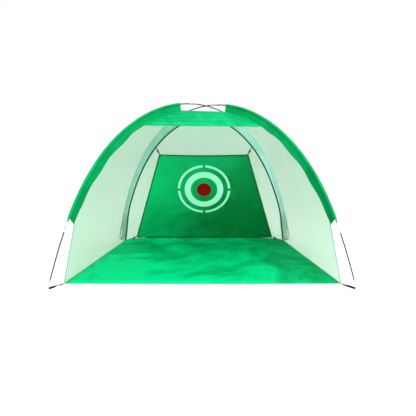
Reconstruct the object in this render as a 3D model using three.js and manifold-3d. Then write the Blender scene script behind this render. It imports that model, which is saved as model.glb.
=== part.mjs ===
// Golf chipping net: a low dome tent on two crossing, sprung glass-fibre poles. Cloth sleeves hold
// the poles, net walls close the sides and the back, and a target cloth hangs near the back wall.
// Millimetres, +Z up, +X along the width. The open mouth faces -Y, and the origin is on the ground
// under the middle of the net. Left is -X, right is +X.
import * as THREE from 'three';
import { mergeVertices } from 'three/addons/utils/BufferGeometryUtils.js';
import Module from 'manifold-3d';

const wasm = await Module();
wasm.setup();

// Driving dimensions
const FRONT_FOOT_X = 1000;         // half the distance between the front feet
const REAR_FOOT_X = 900;           // half the distance between the rear feet
const FOOT_Y = 700;                // half the distance from the front feet to the rear feet
const POLE_END_ANGLE = 72.66;      // degrees between the sprung pole and the ground at its foot
const CROSSING_RISE = 0.0036;      // share of its height by which one pole is above its drawn line
const POLE_RADIUS = 4.25;
const FIRST_JOINT = 430;           // from a pole's front foot to its first ferrule, along the pole
const SECTION_PITCH = 466;         // from one ferrule to the next
const SECTION_COUNT = 8;
const JOINT_GAP = 1;               // between the section ends inside a ferrule
const FERRULE = { outer: 6.3, inner: 5.4, length: 72 };
const TIP = { start: 34, end: 78, poleStart: 60 };
const PIN = { radius: 2.4, start: 30, end: 56 };
const RING = { radius: 14, wire: 1.8 };
const MAT = { frontX: 949, frontY: -564, rearX: 832, rearY: 678, thickness: 2, frontBow: 8 };
const STRAP = { width: 14, thickness: 1.6, loop: 7.2, holeRadius: 4.6, holeShift: 1.2 };
const SLEEVE = {
  pocketOuter: 10.4, pocketInner: 8.8, thickness: 1.6, sides: 10, step: 80, flapRoot: 9.6,
};
const FRONT_SLEEVE = { start: 483, end: 1716, widthLow: 92, widthHigh: 47, turn: 45, cut: 30 };
const REAR_SLEEVE = { start: 2160, endHeight: 42, widthHigh: 76, widthLow: 50, settle: 420 };
const HEM_AT = 1362;               // along the pole, where the valance's lower hem meets the sleeve
const CLOTH_THICKNESS = 1.5;
const SEAM_GAP = 3.5;              // bare strip between neighbouring sheets
const SEAM_RISE = 4.5;             // height of the walls' lower edge
const TARGET = { topX: 405, topY: 325, topZ: 886, bottomX: 700, bottomY: 620, bottomZ: 45, sag: 8 };
const TOP_ANCHOR_AT = 2590;        // along the pole, where the upper tie leaves the rear seam
const BOTTOM_ANCHOR = { x: 815, y: 655, z: 8 };
const TIE_RADIUS = 2.5;
const TIE_CLEARANCE = 2;           // between a tie and its hook, which swings with the cloth
const CENTRING_SHIFT_Y = 4.6;      // moves the whole net so that the origin is under its middle
const HOOK = { barrel: 8.5, barrelLength: 20, wire: 3, shank: 10, bend: 7, back: 8 };

// Colours and finishes
const FINISH = {
  fibreglass: { color: 0x4a4a4c, roughness: 0.45, metalness: 0 },
  steel: { color: 0xc9ccce, roughness: 0.3, metalness: 1 },
  greenCloth: { color: 0x06b060, roughness: 0.75, metalness: 0 },
  paleCloth: { color: 0x8fd8bd, roughness: 0.8, metalness: 0 },
  net: { color: 0xc2eacf, roughness: 0.85, metalness: 0 },
  webbing: { color: 0x15161a, roughness: 0.9, metalness: 0 },
  blackPlastic: { color: 0x101112, roughness: 0.4, metalness: 0 },
  elastic: { color: 0x17181a, roughness: 0.85, metalness: 0 },
};

const net = new THREE.Group();

function add(name, finish, geometry) {
  const mesh = new THREE.Mesh(geometry, new THREE.MeshStandardMaterial(FINISH[finish]));
  mesh.name = name;
  net.add(mesh);
}

const sideName = (side) => (side < 0 ? 'left' : 'right');

// A sprung pole stands in the upright plane over its two feet, in the shape of a bent elastic rod
// with pinned ends: sin(slope / 2) = k sin(phase), where the phase runs from -90 to 90 degrees.
const SPAN_X = FRONT_FOOT_X + REAR_FOOT_X;
const SPAN_Y = 2 * FOOT_Y;
const SPAN = Math.hypot(SPAN_X, SPAN_Y);
const ELASTICA_STEPS = 1200;

function elasticaProfile() {
  const k = Math.sin(THREE.MathUtils.degToRad(POLE_END_ANGLE / 2));
  const points = [{ run: 0, rise: 0, along: 0 }];
  for (let i = 0; i < ELASTICA_STEPS; i += 1) {
    const phase = Math.PI * ((i + 0.5) / ELASTICA_STEPS - 0.5);
    const slope = -2 * Math.asin(k * Math.sin(phase));
    const step = Math.PI / ELASTICA_STEPS / Math.sqrt(1 - (k * Math.sin(phase)) ** 2);
    const last = points[i];
    points.push({
      run: last.run + step * Math.cos(slope),
      rise: last.rise + step * Math.sin(slope),
      along: last.along + step,
    });
  }
  const scale = SPAN / points[ELASTICA_STEPS].run;
  return points.map((p) => ({ run: p.run * scale, rise: p.rise * scale, along: p.along * scale }));
}

const PROFILE = elasticaProfile();
const POLE_LENGTH = PROFILE[ELASTICA_STEPS].along;

function profileAt(along) {
  let low = 0;
  let high = ELASTICA_STEPS;
  while (high - low > 1) {
    const middle = (low + high) >> 1;
    if (PROFILE[middle].along <= along) low = middle;
    else high = middle;
  }
  const a = PROFILE[low];
  const b = PROFILE[high];
  const part = (along - a.along) / (b.along - a.along);
  return {
    run: a.run + (b.run - a.run) * part,
    rise: a.rise + (b.rise - a.rise) * part,
    slope: Math.atan2(b.rise - a.rise, b.run - a.run),
  };
}

// A point of the pole whose front foot is on the given side, and the directions there: forward
// along the pole, inward under the arch, and sideways out of the arch, away from the mouth.
function poleFrame(side, along) {
  const { run, rise, slope } = profileAt(along);
  const acrossX = SPAN_X / SPAN;
  const acrossY = SPAN_Y / SPAN;
  const lift = 1 - side * CROSSING_RISE;
  return {
    point: new THREE.Vector3(side * (FRONT_FOOT_X - run * acrossX), run * acrossY - FOOT_Y, rise * lift),
    tangent: new THREE.Vector3(
      -side * acrossX * Math.cos(slope),
      acrossY * Math.cos(slope),
      Math.sin(slope),
    ),
    inward: new THREE.Vector3(
      -side * acrossX * Math.sin(slope),
      acrossY * Math.sin(slope),
      -Math.cos(slope),
    ),
    sideways: new THREE.Vector3(side * acrossY, acrossX, 0),
  };
}

class PoleStretch extends THREE.Curve {
  constructor(side, start, end) {
    super();
    this.side = side;
    this.start = start;
    this.end = end;
  }

  getPoint(t, target = new THREE.Vector3()) {
    return target.copy(poleFrame(this.side, this.start + (this.end - this.start) * t).point);
  }
}

function ringOfPoints(radius, sides) {
  const points = [];
  for (let i = 0; i < sides; i += 1) {
    const angle = (2 * Math.PI * i) / sides;
    points.push(new THREE.Vector2(radius * Math.cos(angle), radius * Math.sin(angle)));
  }
  return points;
}

// A rod or, with an inner radius, an open tube along a curve.
function tubeAlong(curve, outer, inner, sides, steps) {
  const shape = new THREE.Shape(ringOfPoints(outer, sides));
  if (inner > 0) shape.holes.push(new THREE.Path(ringOfPoints(inner, sides)));
  return new THREE.ExtrudeGeometry(shape, { steps, extrudePath: curve });
}

function toSolid(geometry) {
  const bare = geometry.clone();
  bare.deleteAttribute('normal');
  bare.deleteAttribute('uv');
  const merged = mergeVertices(bare);
  return new wasm.Manifold(new wasm.Mesh({
    numProp: 3,
    vertProperties: merged.attributes.position.array,
    triVerts: new Uint32Array(merged.index.array),
  }));
}

function join(...geometries) {
  let solid = toSolid(geometries[0]);
  for (const geometry of geometries.slice(1)) solid = solid.add(toSolid(geometry));
  const { vertProperties, triVerts } = solid.getMesh();
  const joined = new THREE.BufferGeometry();
  joined.setAttribute('position', new THREE.BufferAttribute(new Float32Array(vertProperties), 3));
  joined.setIndex(new THREE.BufferAttribute(new Uint32Array(triVerts), 1));
  joined.computeVertexNormals();
  return joined;
}

function moveVertices(geometry, place) {
  const { position } = geometry.attributes;
  const point = new THREE.Vector3();
  for (let i = 0; i < position.count; i += 1) {
    point.fromBufferAttribute(position, i);
    const moved = place(point);
    position.setXYZ(i, moved.x, moved.y, moved.z);
  }
  geometry.computeVertexNormals();
  return geometry;
}

// A thin closed sheet. A flat grid is bent onto surface(u, v), with u and v from 0 to 1, and set
// down twice, half a thickness either side, so that both faces bend along the same lines.
function sheet(surface, uSteps, vSteps, thickness) {
  const grid = new THREE.PlaneGeometry(1, 1, uSteps, vSteps);
  const { position } = grid.attributes;
  const { count } = position;
  const delta = 1e-3;
  const points = [];
  for (const face of [0.5, -0.5]) {
    for (let i = 0; i < count; i += 1) {
      const u = position.getX(i) + 0.5;
      const v = position.getY(i) + 0.5;
      const alongU = surface(Math.min(u + delta, 1), v).sub(surface(Math.max(u - delta, 0), v));
      const alongV = surface(u, Math.min(v + delta, 1)).sub(surface(u, Math.max(v - delta, 0)));
      const normal = alongU.cross(alongV).normalize();
      points.push(surface(u, v).addScaledVector(normal, face * thickness));
    }
  }
  const front = Array.from(grid.index.array);
  const back = front.map((corner) => corner + count).reverse();
  const rim = [];
  const row = uSteps + 1;
  for (let i = 0; i < vSteps; i += 1) rim.push(i * row);
  for (let i = 0; i < uSteps; i += 1) rim.push(vSteps * row + i);
  for (let i = vSteps; i > 0; i -= 1) rim.push(i * row + uSteps);
  for (let i = uSteps; i > 0; i -= 1) rim.push(i);
  const edge = [];
  rim.forEach((p, i) => {
    const q = rim[(i + 1) % rim.length];
    edge.push(q, p, p + count, q, p + count, q + count);
  });
  const solid = new THREE.BufferGeometry().setFromPoints(points);
  solid.setIndex([...front, ...back, ...edge]);
  solid.computeVertexNormals();
  return solid;
}

// Poles: sections that meet inside steel ferrules, and a hollow steel tip at each foot
function addPole(side) {
  const name = side < 0 ? 'pole_a' : 'pole_b';
  const ends = [TIP.poleStart];
  for (let i = 0; i < SECTION_COUNT - 1; i += 1) ends.push(FIRST_JOINT + SECTION_PITCH * i);
  ends.push(POLE_LENGTH - TIP.poleStart);
  for (let i = 0; i < SECTION_COUNT; i += 1) {
    const start = ends[i] + JOINT_GAP / 2;
    const end = ends[i + 1] - JOINT_GAP / 2;
    const stretch = new PoleStretch(side, start, end);
    add(`${name}_section_${i + 1}`, 'fibreglass', tubeAlong(stretch, POLE_RADIUS, 0, 8, 9));
  }
  for (let i = 1; i < SECTION_COUNT; i += 1) {
    const stretch = new PoleStretch(side, ends[i] - FERRULE.length / 2, ends[i] + FERRULE.length / 2);
    add(`${name}_ferrule_${i}`, 'steel', tubeAlong(stretch, FERRULE.outer, FERRULE.inner, 8, 3));
  }
}

// Both ends of a pole look alike, so a foot is placed by its distance from its own end.
function footStretch(side, isRear, start, end) {
  if (!isRear) return new PoleStretch(side, start, end);
  return new PoleStretch(-side, POLE_LENGTH - end, POLE_LENGTH - start);
}

function matCorner(side, isRear) {
  return isRear
    ? new THREE.Vector3(side * MAT.rearX, MAT.rearY, 0)
    : new THREE.Vector3(side * MAT.frontX, MAT.frontY, 0);
}

// Each foot: a steel tip on the pole, a pin that stands in the tip, the ring that the pin is
// welded to, and the webbing strap that ties the ring to the mat's corner
function addFoot(side, isRear) {
  const place = `${isRear ? 'rear' : 'front'}_${sideName(side)}`;
  const tip = footStretch(side, isRear, TIP.start, TIP.end);
  add(`pole_tip_${place}`, 'steel', tubeAlong(tip, FERRULE.outer, FERRULE.inner, 8, 2));

  const pin = footStretch(side, isRear, PIN.start, PIN.end);
  const ground = footStretch(side, isRear, 0, 1).getPoint(isRear ? 1 : 0);
  const upward = pin.getPoint(isRear ? 0 : 1).sub(ground).normalize();
  const centreRise = RING.radius + RING.wire;
  const centre = ground.clone().addScaledVector(upward, centreRise / upward.z);
  const corner = matCorner(side, isRear);
  const toCorner = corner.clone().sub(centre).setZ(0).normalize();
  const ring = new THREE.TorusGeometry(RING.radius, RING.wire, 8, 18);
  const across = new THREE.Vector3(0, 0, 1).cross(toCorner).negate();
  ring.applyMatrix4(new THREE.Matrix4().makeBasis(toCorner, new THREE.Vector3(0, 0, 1), across));
  ring.translate(centre.x, centre.y, centre.z);
  add(`foot_ring_${place}`, 'steel', join(ring, tubeAlong(pin, PIN.radius, 0, 8, 2)));

  const start = centre.clone().addScaledVector(toCorner, RING.radius);
  const end = corner.clone().addScaledVector(toCorner, -SEAM_GAP).setZ(1 + STRAP.thickness / 2);
  add(`foot_strap_${place}`, 'webbing', strapGeometry(start, end));
}

// A strap with a loop at its start. It stands on edge at the ring and lies flat at the mat.
function strapGeometry(start, end) {
  const length = start.distanceTo(end);
  const half = STRAP.thickness / 2;
  const steps = 10;
  const outline = [];
  const loopLength = 3 * STRAP.loop;
  for (let i = 0; i <= 8; i += 1) {
    const angle = Math.PI * (0.5 + i / 8);
    outline.push(new THREE.Vector2(STRAP.loop * Math.cos(angle), STRAP.loop * Math.sin(angle)));
  }
  for (let i = 0; i <= steps; i += 1) {
    outline.push(new THREE.Vector2(loopLength + ((length - loopLength) * i) / steps, -half));
  }
  for (let i = steps; i >= 0; i -= 1) {
    outline.push(new THREE.Vector2(loopLength + ((length - loopLength) * i) / steps, half));
  }
  const shape = new THREE.Shape(outline);
  const hole = ringOfPoints(STRAP.holeRadius, 8);
  hole.forEach((point) => { point.x -= STRAP.holeShift; });
  shape.holes.push(new THREE.Path(hole));
  const geometry = new THREE.ExtrudeGeometry(shape, {
    depth: STRAP.width, steps: 1, bevelEnabled: false,
  });
  geometry.translate(0, 0, -STRAP.width / 2);
  const forward = end.clone().sub(start).normalize();
  const flat = new THREE.Vector3(0, 0, 1).cross(forward).normalize();
  return moveVertices(geometry, (p) => {
    const part = THREE.MathUtils.clamp((p.x - loopLength) / (length - loopLength), 0, 1);
    const turn = (Math.PI / 2) * THREE.MathUtils.smoothstep(part, 0, 0.8);
    const widthWay = new THREE.Vector3(0, 0, Math.cos(turn)).addScaledVector(flat, -Math.sin(turn));
    const thickWay = widthWay.clone().cross(forward).normalize();
    const base = start.clone().addScaledVector(forward, p.x);
    return base.addScaledVector(thickWay, p.y).addScaledVector(widthWay, p.z);
  });
}

// The free edge of a front sleeve, where the net and the valance are sewn on. Low on the pole the
// net pulls it back, and near the top the net and the valance pull it straight in.
function frontSleeveOffset(side, along) {
  const { inward, sideways } = poleFrame(side, along);
  const part = THREE.MathUtils.clamp(
    (along - FRONT_SLEEVE.start) / (FRONT_SLEEVE.end - FRONT_SLEEVE.start), 0, 1,
  );
  const turn = THREE.MathUtils.degToRad(FRONT_SLEEVE.turn) * (1 - part);
  const width = THREE.MathUtils.lerp(FRONT_SLEEVE.widthLow, FRONT_SLEEVE.widthHigh, part);
  const offset = inward.multiplyScalar(Math.cos(turn)).addScaledVector(sideways, Math.sin(turn));
  return offset.multiplyScalar(width);
}

// The free edge of a rear sleeve. Near the ground it settles at the mat's rear corner.
function rearSleeveOffset(side, along) {
  const { inward } = poleFrame(-side, along);
  const foot = poleFrame(-side, POLE_LENGTH).point;
  const toCorner = matCorner(side, true).sub(foot);
  const settleStart = POLE_LENGTH - REAR_SLEEVE.settle;
  const lowered = THREE.MathUtils.clamp(
    (along - REAR_SLEEVE.start) / (settleStart - REAR_SLEEVE.start), 0, 1,
  );
  const width = THREE.MathUtils.lerp(REAR_SLEEVE.widthHigh, REAR_SLEEVE.widthLow, lowered);
  const part = THREE.MathUtils.smoothstep(along, settleStart, POLE_LENGTH);
  return inward.multiplyScalar(width).lerp(toCorner, part);
}

const frontSeam = (side, along) => (
  poleFrame(side, along).point.add(frontSleeveOffset(side, along)));
const rearSeam = (side, along) => (
  poleFrame(-side, along).point.add(rearSleeveOffset(side, along)));

// A sleeve: a round pocket for the pole, and a flap from the pocket out to the seam. The flap's
// lower end is cut at a slant, lower at the seam than at the pocket.
function sleeveGeometry(side, start, end, offsetAt, cut) {
  const { pocketOuter, pocketInner, thickness, sides, flapRoot } = SLEEVE;
  const steps = Math.round((end - start) / SLEEVE.step);
  const pocket = tubeAlong(new PoleStretch(side, start, end), pocketOuter, pocketInner, sides, steps);
  const flap = sheet((u, v) => {
    const along = THREE.MathUtils.lerp(start - cut * u, end, v);
    const { point } = poleFrame(side, along);
    const offset = offsetAt(along);
    return point.addScaledVector(offset, THREE.MathUtils.lerp(flapRoot / offset.length(), 1, u));
  }, 1, steps, thickness);
  return join(pocket, flap);
}

function addSleeves(side) {
  const { start, end, cut } = FRONT_SLEEVE;
  add(`front_sleeve_${sideName(side)}`, 'greenCloth', sleeveGeometry(
    side, start, end, (along) => frontSleeveOffset(side, along), cut,
  ));
  add(`rear_sleeve_${sideName(side)}`, 'paleCloth', sleeveGeometry(
    -side, REAR_SLEEVE.start, POLE_LENGTH - REAR_SLEEVE.endHeight - TIP.end,
    (along) => rearSleeveOffset(side, along), 0,
  ));
}

// The front edge of a side wall: straight up from the mat's corner to the sleeve's lower end, and
// then along the seam to the sleeve's upper end. The rear edge: up the rear seam.
const FREE_EDGE_SHARE = 0.27;
const seamLow = FRONT_SLEEVE.start - FRONT_SLEEVE.cut;

function wallFrontEdge(side, v) {
  if (v >= FREE_EDGE_SHARE) {
    const part = (v - FREE_EDGE_SHARE) / (1 - FREE_EDGE_SHARE);
    return frontSeam(side, THREE.MathUtils.lerp(seamLow, FRONT_SLEEVE.end, part));
  }
  const foot = matCorner(side, false).setZ(SEAM_RISE);
  return foot.lerp(frontSeam(side, seamLow), v / FREE_EDGE_SHARE);
}

function wallRearEdge(side, v) {
  const bottom = POLE_LENGTH;
  const edge = rearSeam(side, THREE.MathUtils.lerp(bottom, REAR_SLEEVE.start, v));
  return edge.setZ(Math.max(edge.z, SEAM_RISE));
}

function addSideWall(side) {
  const surface = (u, v) => {
    const front = wallFrontEdge(side, v);
    const rear = wallRearEdge(side, v);
    const inset = SEAM_GAP / front.distanceTo(rear);
    return front.lerp(rear, THREE.MathUtils.lerp(inset, 1 - inset, u));
  };
  add(`side_net_${sideName(side)}`, 'net', sheet(surface, 3, 15, CLOTH_THICKNESS));
}

// The back wall runs up between the rear seams and then forward over the top to the valance.
const CROWN_SHARE = 0.18;

function backEdge(side, v) {
  if (v <= 1 - CROWN_SHARE) return wallRearEdge(side, v / (1 - CROWN_SHARE));
  const rearTop = rearSeam(side, REAR_SLEEVE.start);
  const frontTop = frontSeam(side, FRONT_SLEEVE.end);
  return rearTop.lerp(frontTop, (v - 1 + CROWN_SHARE) / CROWN_SHARE);
}

// A sheet stretched between a left edge and a right edge, a seam gap short of both.
function stretched(edge, vStart, vEnd) {
  return (u, v) => {
    const left = edge(-1, THREE.MathUtils.lerp(vStart, vEnd, v));
    const right = edge(1, THREE.MathUtils.lerp(vStart, vEnd, v));
    const inset = SEAM_GAP / left.distanceTo(right);
    return left.lerp(right, THREE.MathUtils.lerp(inset, 1 - inset, u));
  };
}

function addBackWall() {
  const frontGap = 0.012;
  const surface = stretched(backEdge, 0, 1 - frontGap);
  add('back_net', 'net', sheet(surface, 2, 18, CLOTH_THICKNESS));
}

function addValance() {
  const surface = stretched(frontSeam, HEM_AT, FRONT_SLEEVE.end);
  add('front_valance', 'greenCloth', sheet(surface, 2, 6, CLOTH_THICKNESS));
}

function addMat() {
  const outline = new THREE.Shape();
  outline.moveTo(-MAT.frontX, MAT.frontY);
  outline.quadraticCurveTo(0, MAT.frontY - 2 * MAT.frontBow, MAT.frontX, MAT.frontY);
  outline.lineTo(MAT.rearX, MAT.rearY);
  outline.lineTo(-MAT.rearX, MAT.rearY);
  outline.closePath();
  const geometry = new THREE.ExtrudeGeometry(outline, {
    depth: MAT.thickness, bevelEnabled: false, curveSegments: 8,
  });
  add('floor_mat', 'greenCloth', geometry);
}

// The target cloth hangs from its two upper corners and leans back to its lower corners.
function addTarget() {
  const top = new THREE.Vector3(0, TARGET.topY, TARGET.topZ);
  const bottom = new THREE.Vector3(0, TARGET.bottomY, TARGET.bottomZ);
  const surface = (u, v) => {
    const halfWidth = THREE.MathUtils.lerp(TARGET.bottomX, TARGET.topX, v);
    const across = 2 * u - 1;
    const point = bottom.clone().lerp(top, v);
    point.addScaledVector(top.clone().sub(bottom).normalize(), -TARGET.sag * v * (1 - across ** 2));
    return point.setX(halfWidth * across);
  };
  add('target_cloth', 'greenCloth', sheet(surface, 6, 4, CLOTH_THICKNESS));
}

// A hook: a barrel on the tie and a bent shank that the cloth's corner loop hangs on
function hookGeometry(from, towards) {
  const { barrel, barrelLength, wire, shank, bend, back } = HOOK;
  const bodyProfile = [[0, 0], [barrel * 0.7, 0], [barrel, 2], [barrel, barrelLength - 2],
    [barrel * 0.7, barrelLength], [0, barrelLength]].map(([x, y]) => new THREE.Vector2(x, y));
  const body = new THREE.LatheGeometry(bodyProfile, 10);
  const path = new THREE.CurvePath();
  const turnHeight = barrelLength + shank;
  const line = (y0, z0, y1, z1) => new THREE.LineCurve3(
    new THREE.Vector3(0, y0, z0), new THREE.Vector3(0, y1, z1),
  );
  path.add(line(barrelLength - 2, 0, turnHeight, 0));
  for (let i = 0; i < 4; i += 1) {
    const a = (Math.PI * i) / 4;
    const b = (Math.PI * (i + 1)) / 4;
    path.add(line(turnHeight + bend * Math.sin(a), bend * (1 - Math.cos(a)),
      turnHeight + bend * Math.sin(b), bend * (1 - Math.cos(b))));
  }
  path.add(line(turnHeight, 2 * bend, turnHeight - back, 2 * bend));
  const crook = tubeAlong(path, wire, 0, 8, 14);
  const hook = join(body, crook);
  const up = towards.clone().sub(from).normalize();
  const turned = new THREE.Quaternion().setFromUnitVectors(new THREE.Vector3(0, 1, 0), up);
  hook.applyQuaternion(turned);
  hook.translate(from.x, from.y, from.z);
  return hook;
}

// A tie and its hook, from an anchor on a seam to a corner of the target cloth
function addTie(name, anchor, corner) {
  const reach = HOOK.barrelLength + HOOK.shank + HOOK.bend + HOOK.wire + SEAM_GAP;
  const way = corner.clone().sub(anchor).normalize();
  const start = anchor.clone().addScaledVector(way, SEAM_GAP);
  const hookStart = corner.clone().addScaledVector(way, -reach);
  const end = hookStart.clone().addScaledVector(way, -TIE_CLEARANCE);
  add(`tie_cord_${name}`, 'elastic', tubeAlong(new THREE.LineCurve3(start, end), TIE_RADIUS, 0, 8, 4));
  add(`target_hook_${name}`, 'blackPlastic', hookGeometry(hookStart, corner));
}

function addTies(side) {
  const name = sideName(side);
  const top = new THREE.Vector3(side * TARGET.topX, TARGET.topY, TARGET.topZ);
  const bottom = new THREE.Vector3(side * TARGET.bottomX, TARGET.bottomY, TARGET.bottomZ);
  const topAnchor = rearSeam(side, TOP_ANCHOR_AT);
  topAnchor.y -= 3 * SEAM_GAP;
  const bottomAnchor = new THREE.Vector3(side * BOTTOM_ANCHOR.x, BOTTOM_ANCHOR.y, BOTTOM_ANCHOR.z);
  addTie(`top_${name}`, topAnchor, top);
  addTie(`bottom_${name}`, bottomAnchor, bottom);
}

addMat();
for (const side of [-1, 1]) {
  addPole(side);
  addFoot(side, false);
  addFoot(side, true);
  addSleeves(side);
  addSideWall(side);
  addTies(side);
}
addBackWall();
addValance();
addTarget();
net.position.y = CENTRING_SHIFT_Y;

export default net;
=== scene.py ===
"""A golf chipping net: a low dome tent on two crossing sprung poles, with a target cloth inside.

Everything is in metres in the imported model's frame. The open mouth faces -Y, +X is the right side,
and the origin is on the ground under the middle of the net. Left is -X, right is +X.
"""
import math

import bpy
import numpy as np
from mathutils import Matrix, Vector, noise


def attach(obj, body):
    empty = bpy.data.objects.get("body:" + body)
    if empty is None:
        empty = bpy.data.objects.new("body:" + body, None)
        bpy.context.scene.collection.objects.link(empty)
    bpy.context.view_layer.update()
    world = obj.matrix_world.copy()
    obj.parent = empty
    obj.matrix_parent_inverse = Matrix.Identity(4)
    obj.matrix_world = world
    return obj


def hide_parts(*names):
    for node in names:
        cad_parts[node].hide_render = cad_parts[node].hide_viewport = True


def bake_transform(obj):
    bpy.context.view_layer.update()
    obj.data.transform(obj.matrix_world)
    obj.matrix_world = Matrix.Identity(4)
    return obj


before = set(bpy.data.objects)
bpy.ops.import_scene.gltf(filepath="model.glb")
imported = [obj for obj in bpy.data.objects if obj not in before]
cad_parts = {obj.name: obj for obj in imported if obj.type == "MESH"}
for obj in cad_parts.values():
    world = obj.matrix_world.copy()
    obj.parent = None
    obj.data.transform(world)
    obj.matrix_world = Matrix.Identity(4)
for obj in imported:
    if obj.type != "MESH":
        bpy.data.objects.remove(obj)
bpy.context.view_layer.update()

# ---------------------------------------------------------------- sizes, the same as the CAD's
FRONT_FOOT_X, REAR_FOOT_X, FOOT_Y = 1.000, 0.900, 0.700
CENTRING_SHIFT = np.array([0.0, 0.0046, 0.0])
POLE_END_ANGLE = math.radians(72.66)
CROSSING_RISE = 0.0036
POLE_RADIUS = 0.00425
FIRST_JOINT, SECTION_PITCH, SECTION_COUNT, JOINT_GAP = 0.430, 0.466, 8, 0.001
FERRULE_OUTER, FERRULE_INNER, FERRULE_LENGTH = 0.0063, 0.0054, 0.072
TIP_START, TIP_END, TIP_POLE_START = 0.034, 0.078, 0.060
PIN_RADIUS, PIN_START, PIN_END = 0.0024, 0.030, 0.056
RING_RADIUS, RING_WIRE = 0.014, 0.0018
MAT_FRONT_X, MAT_FRONT_Y, MAT_REAR_X, MAT_REAR_Y = 0.949, -0.564, 0.832, 0.678
MAT_FRONT_BOW, MAT_REAR_RISE = 0.008, 0.034
STRAP_WIDTH, STRAP_THICKNESS = 0.014, 0.0014
SLEEVE_START, SLEEVE_END, SLEEVE_CUT = 0.483, 1.716, 0.030
SLEEVE_WIDTH_LOW, SLEEVE_WIDTH_HIGH, SLEEVE_TURN = 0.092, 0.047, math.radians(45)
REAR_SLEEVE_START, REAR_SETTLE, REAR_CUT, GUSSET_LENGTH = 2.160, 0.420, 0.100, 0.104
REAR_SLEEVE_WIDTHS = (0.076, 0.050)       # at its upper end, and where it starts to settle
HEM_AT = 1.362
SEAM_RISE = 0.0045
FREE_EDGE_SHARE, CROWN_SHARE = 0.27, 0.18
TARGET_TOP = np.array([0.405, 0.325, 0.886])
TARGET_BOTTOM = np.array([0.700, 0.620, 0.045])
TOP_ANCHOR_AT = 2.590
BOTTOM_ANCHOR = np.array([0.815, 0.655, 0.008])
TIE_RADIUS = 0.0025
HOOK_BARREL, HOOK_BARREL_LENGTH, HOOK_WIRE = 0.0085, 0.020, 0.003
HOOK_SHANK, HOOK_BEND, HOOK_BACK = 0.010, 0.007, 0.008
HOOK_SWEEP = 0.060               # how far forwards the lower hooks swing, over the mat
SEAM_GAP = 0.0035

# ---------------------------------------------------------------- sizes of the finished pieces only
TIE_GAP = 0.0004                 # between a tie's end and its hook
CLOTH_THICKNESS, MAT_THICKNESS = 0.0009, 0.0010
WEAVE_PITCH, MESH_PITCH = 0.0016, 0.0032
POCKET_RADIUS, POCKET_ROOT, POCKET_LAP = 0.0092, 0.0165, 0.030
CAMERA_PLACE, CAMERA_DOWN, CAMERA_LENS = (0.038, -2.7654, 0.844), 8.26, 29.12

SIDES = {"left": -1, "right": 1}
RING_SIDES = 20


# ---------------------------------------------------------------- the poles' curve
def elastica():
    """Run, rise and length along a bent elastic rod with pinned ends, and its slope."""
    steps = 1200
    k = math.sin(POLE_END_ANGLE / 2)
    phase = math.pi * ((np.arange(steps) + 0.5) / steps - 0.5)
    slope = -2 * np.arcsin(k * np.sin(phase))
    step = 1 / np.sqrt(1 - (k * np.sin(phase)) ** 2)
    run = np.concatenate([[0], np.cumsum(step * np.cos(slope))])
    rise = np.concatenate([[0], np.cumsum(step * np.sin(slope))])
    along = np.concatenate([[0], np.cumsum(step)])
    scale = math.hypot(FRONT_FOOT_X + REAR_FOOT_X, 2 * FOOT_Y) / run[-1]
    middle = np.concatenate([[slope[0]], (slope[1:] + slope[:-1]) / 2, [slope[-1]]])
    return run * scale, rise * scale, along * scale, middle


RUN, RISE, ALONG, SLOPE = elastica()
POLE_LENGTH = ALONG[-1]
SPAN = np.array([FRONT_FOOT_X + REAR_FOOT_X, 2 * FOOT_Y]) / RUN[-1]


def stack(*parts):
    return np.stack(np.broadcast_arrays(*parts), axis=-1)


def unit(vectors):
    return vectors / np.linalg.norm(vectors, axis=-1, keepdims=True)


def pole_frame(side, along):
    """Points of the pole whose front foot is on that side, and its directions there: forward along
    it, inward under the arch, and sideways out of the arch, away from the mouth."""
    along = np.asarray(along, float)
    run, rise = np.interp(along, ALONG, RUN), np.interp(along, ALONG, RISE)
    slope = np.interp(along, ALONG, SLOPE)
    lift = 1 - side * CROSSING_RISE
    point = stack(side * (FRONT_FOOT_X - run * SPAN[0]), run * SPAN[1] - FOOT_Y, rise * lift)
    tangent = stack(-side * SPAN[0] * np.cos(slope), SPAN[1] * np.cos(slope), np.sin(slope))
    inward = stack(-side * SPAN[0] * np.sin(slope), SPAN[1] * np.sin(slope), -np.cos(slope))
    sideways = stack(side * SPAN[1] + 0 * slope, SPAN[0] + 0 * slope, 0 * slope)
    return point + CENTRING_SHIFT, tangent, inward, sideways


def smooth(value, low, high):
    part = np.clip((value - low) / (high - low), 0, 1)
    return part * part * (3 - 2 * part)


def mat_corner(side, is_rear):
    x, y = (MAT_REAR_X, MAT_REAR_Y) if is_rear else (MAT_FRONT_X, MAT_FRONT_Y)
    return np.array([side * x, y, 0.0]) + CENTRING_SHIFT


def front_offset(side, along):
    """From the pole to the front sleeve's free edge. The pull of the net leaves it wavy."""
    _, _, inward, sideways = pole_frame(side, along)
    part = np.clip((along - SLEEVE_START) / (SLEEVE_END - SLEEVE_START), 0, 1)
    turn = SLEEVE_TURN * (1 - part)
    width = SLEEVE_WIDTH_LOW + (SLEEVE_WIDTH_HIGH - SLEEVE_WIDTH_LOW) * part
    fade = smooth(along, SLEEVE_START, SLEEVE_START + 0.15) * (1 - smooth(along, 1.25, HEM_AT))
    width = width + 0.005 * fade * np.sin(2 * math.pi * (along - SLEEVE_START) / 0.27 + side)
    offset = inward * np.cos(turn)[..., None] + sideways * np.sin(turn)[..., None]
    return offset * np.asarray(width)[..., None]


def rear_offset(side, along):
    """From the pole to the rear seam, which settles at the mat's rear corner."""
    _, _, inward, _ = pole_frame(-side, along)
    foot = pole_frame(-side, POLE_LENGTH)[0]
    settle_start = POLE_LENGTH - REAR_SETTLE
    width = np.interp(along, (REAR_SLEEVE_START, settle_start), REAR_SLEEVE_WIDTHS)[..., None]
    part = smooth(along, settle_start, POLE_LENGTH)[..., None]
    return inward * width * (1 - part) + (mat_corner(side, True) - foot) * part


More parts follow.
